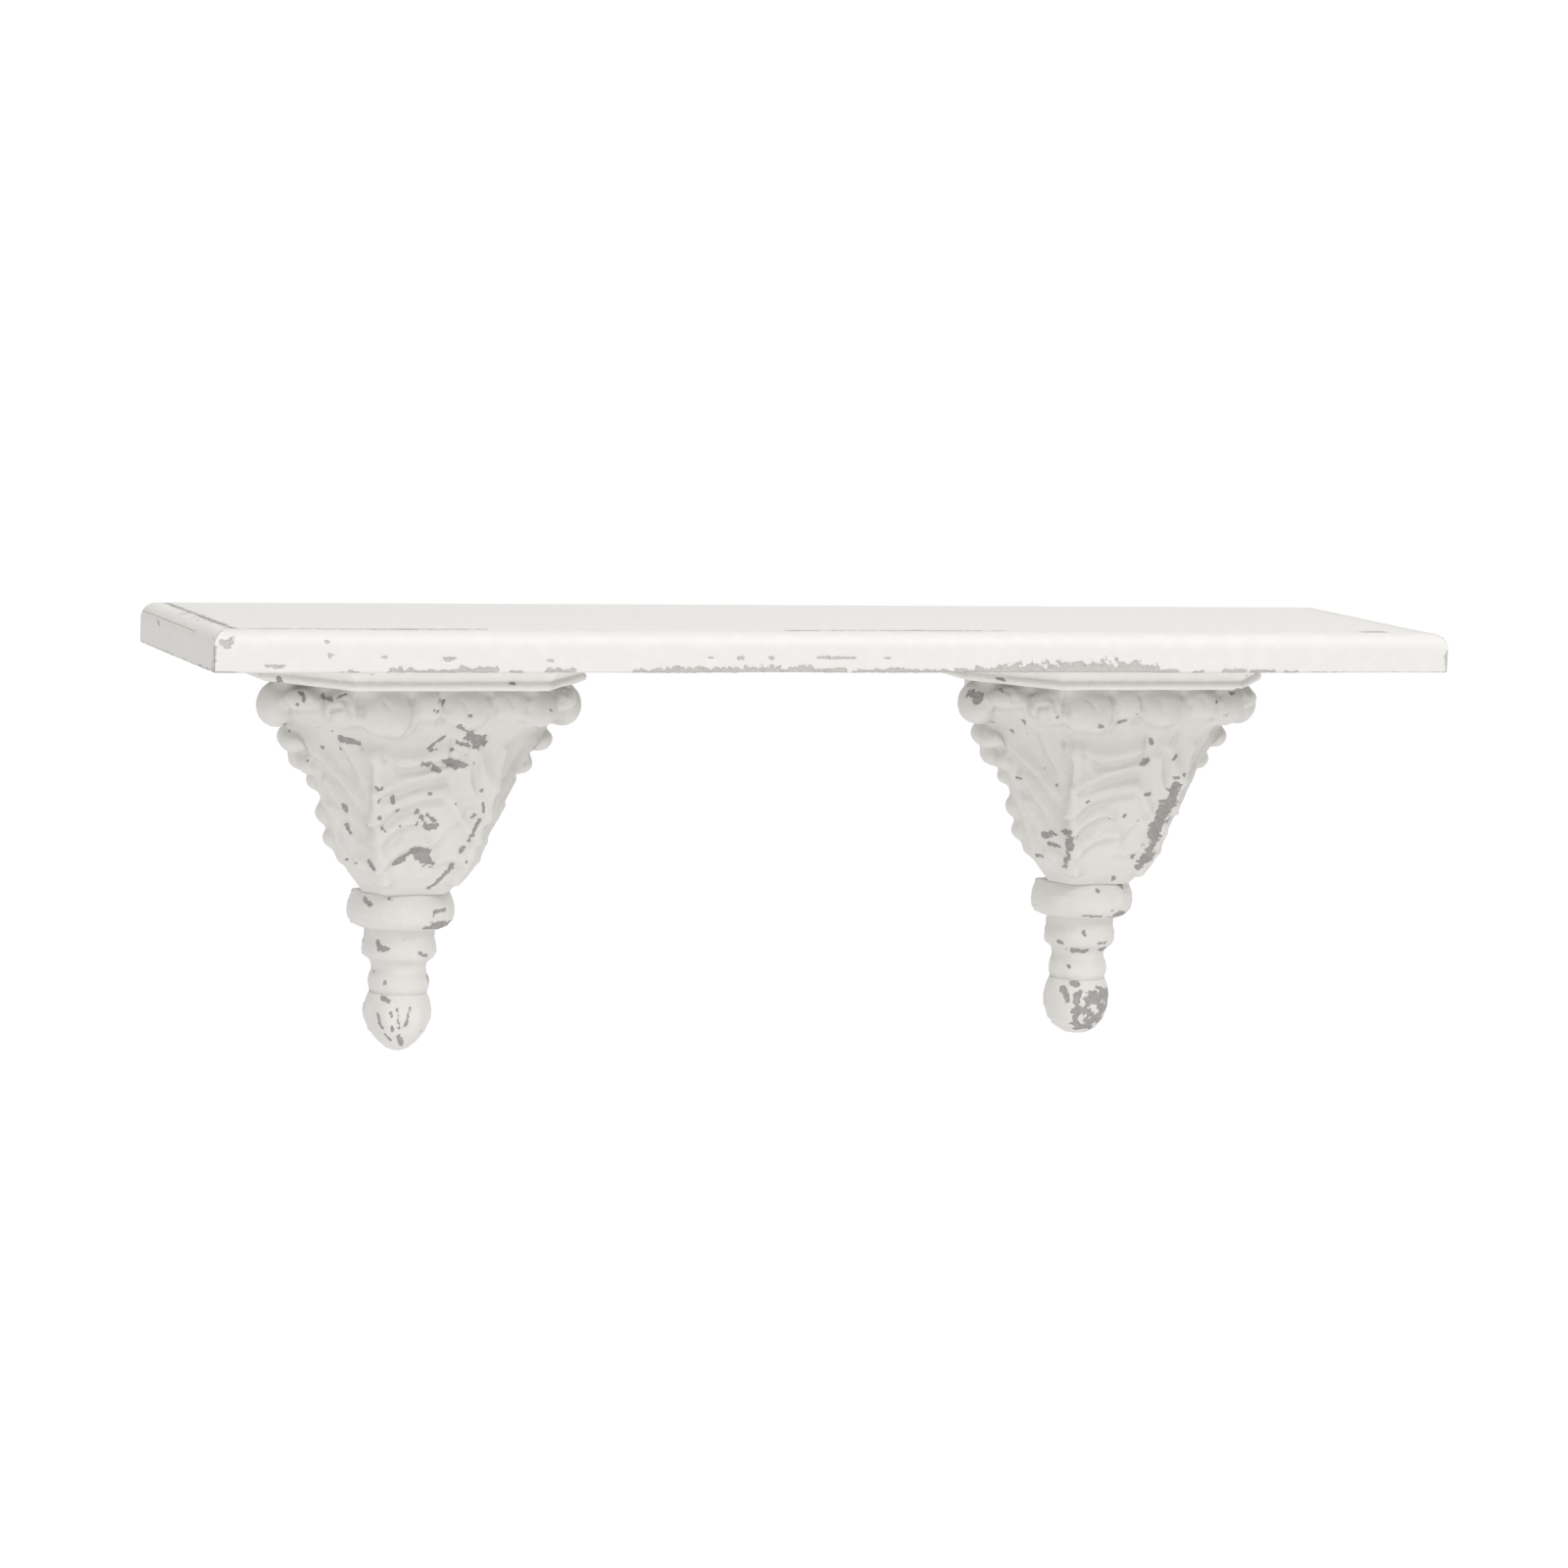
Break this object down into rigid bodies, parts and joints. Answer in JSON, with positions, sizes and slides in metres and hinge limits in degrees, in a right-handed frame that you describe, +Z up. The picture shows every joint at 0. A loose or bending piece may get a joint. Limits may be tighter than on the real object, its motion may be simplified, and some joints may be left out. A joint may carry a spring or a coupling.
{
  "type": "wall shelf with brackets",
  "caption": "Long wall shelf: a board with a rounded, mitred edging on carved corbels with leaf bells, turned drops and bud finials, hung on keyhole plates.",
  "frame": {"origin": "on the wall plane, at the middle of the board's back edge, half way up its thickness", "axes": "+Z up, +X along the board to the right as seen from the front, +Y into the wall, so the shelf stands out towards -Y"},
  "size_m": [0.8128, 0.18, 0.284],
  "materials": {
    "board_paint": "white paint, sanded through at the edges",
    "corbel_paint": "thick warm white paint, chipped to a grey ground",
    "bare_wood": "unfinished",
    "zinc_steel": "zinc plated"
  },
  "bodies": {
    "root": {"shelf_panel": "board_paint", "front_edging": "board_paint", "left_edging": "board_paint", "right_edging": "board_paint", "left_abacus": "corbel_paint", "left_abacus_screws": "zinc_steel", "left_bell": "corbel_paint", "left_back_board": "corbel_paint", "left_bell_dowels": "bare_wood", "left_collar": "corbel_paint", "left_drop": "corbel_paint", "left_drop_dowel": "bare_wood", "left_finial": "corbel_paint", "left_hanger_plate": "zinc_steel", "left_hanger_screws": "zinc_steel", "right_abacus": "corbel_paint", "right_abacus_screws": "zinc_steel", "right_bell": "corbel_paint", "right_back_board": "corbel_paint", "right_bell_dowels": "bare_wood", "right_collar": "corbel_paint", "right_drop": "corbel_paint", "right_drop_dowel": "bare_wood", "right_finial": "corbel_paint", "right_hanger_plate": "zinc_steel", "right_hanger_screws": "zinc_steel"}
  },
  "joints": []
}
